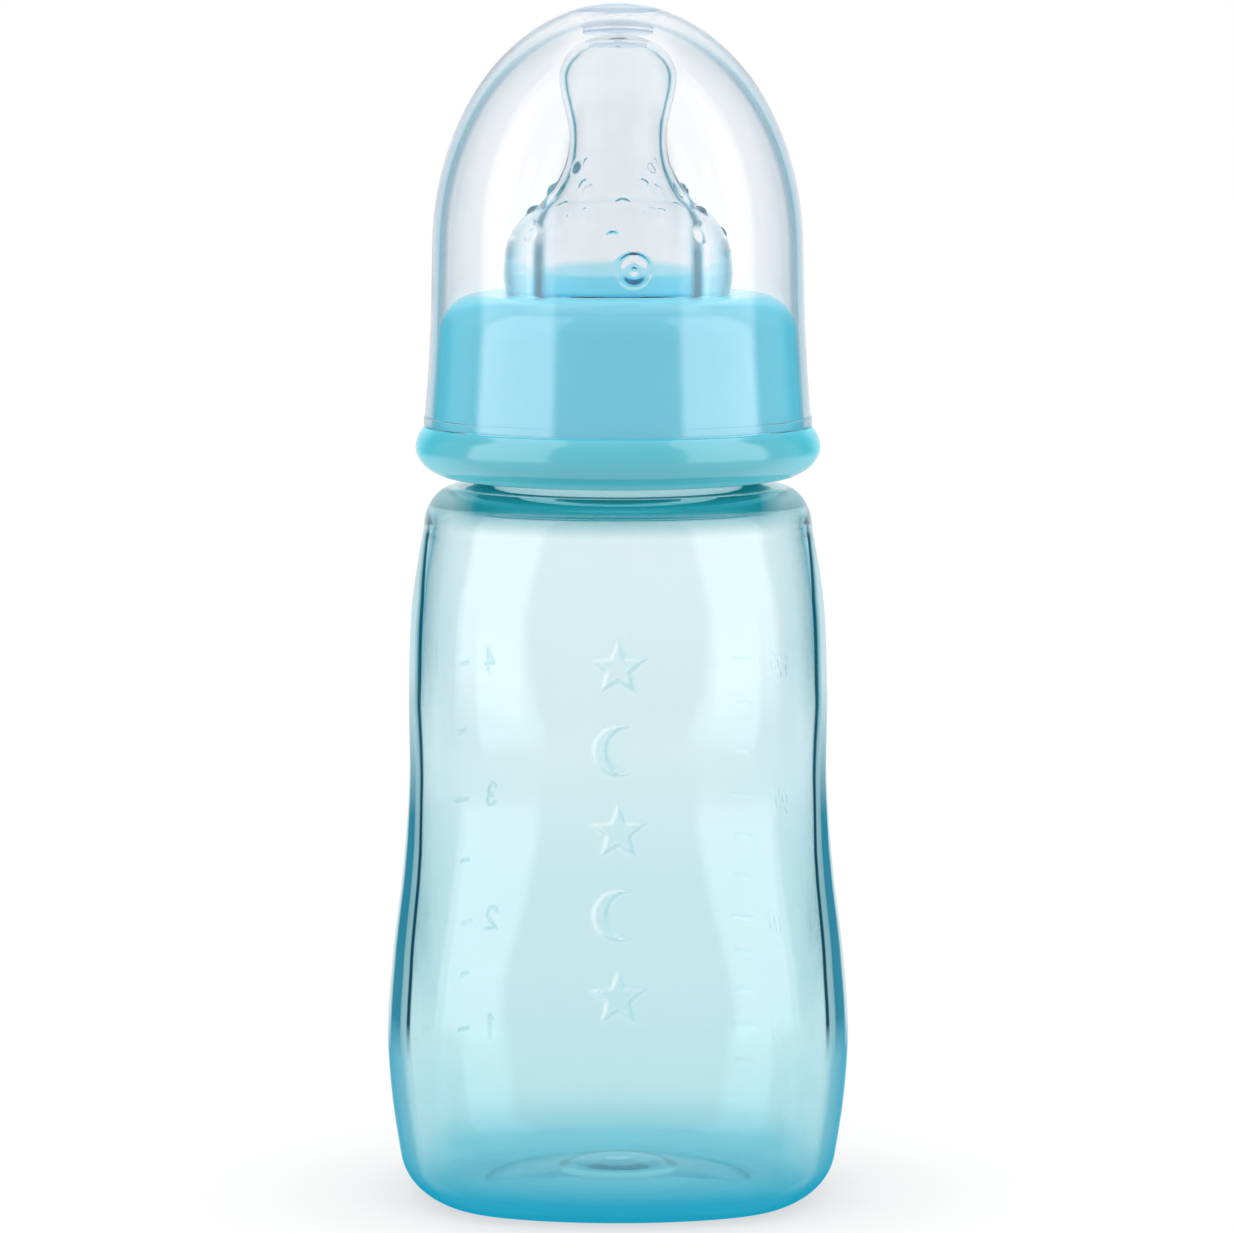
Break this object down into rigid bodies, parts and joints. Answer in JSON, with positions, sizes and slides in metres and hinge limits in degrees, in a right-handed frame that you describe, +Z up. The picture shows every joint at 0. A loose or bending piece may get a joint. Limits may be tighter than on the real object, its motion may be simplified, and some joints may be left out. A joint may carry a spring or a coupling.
{
  "type": "baby bottle",
  "caption": "Small standard-neck baby bottle with a waisted rounded-square body, screw ring, silicone nipple and a clear push-on hood; it stands on a moulded foot ring.",
  "frame": {"origin": "centre of the foot ring, on the surface the bottle stands on", "axes": "+Z is up along the bottle axis, -Y is the front with the raised motif, +Y is the back with the fill scales"},
  "size_m": [0.055, 0.0553, 0.1415],
  "materials": {
    "tinted_clear_plastic": "clear blow-moulded plastic tinted aqua",
    "aqua_gloss_plastic": "opaque glossy injection-moulded plastic",
    "silicone": "translucent colourless silicone",
    "clear_plastic": "water-clear thin plastic"
  },
  "bodies": {
    "body": {"bottle_body": "tinted_clear_plastic"},
    "nipple": {"nipple": "silicone"},
    "ring": {"screw_ring": "aqua_gloss_plastic"},
    "hood": {"hood": "clear_plastic"}
  },
  "joints": [
    {"name": "nipple_lift", "type": "slide", "parent": "body", "child": "nipple", "axis": [0, 0, 1], "range_m": [0, 0.0191]},
    {"name": "ring_turn", "type": "hinge", "parent": "nipple", "child": "ring", "pos_m": [0, 0, 0.1], "axis": [0, 0, 1], "range_deg": [0, 1800]},
    {"name": "hood_pull", "type": "slide", "parent": "ring", "child": "hood", "axis": [0, 0, 1], "range_m": [0, 0.06]}
  ],
  "couplings": [
    {"joint": "nipple_lift", "follows": "ring_turn", "m_per_rad": 0.00060479}
  ]
}
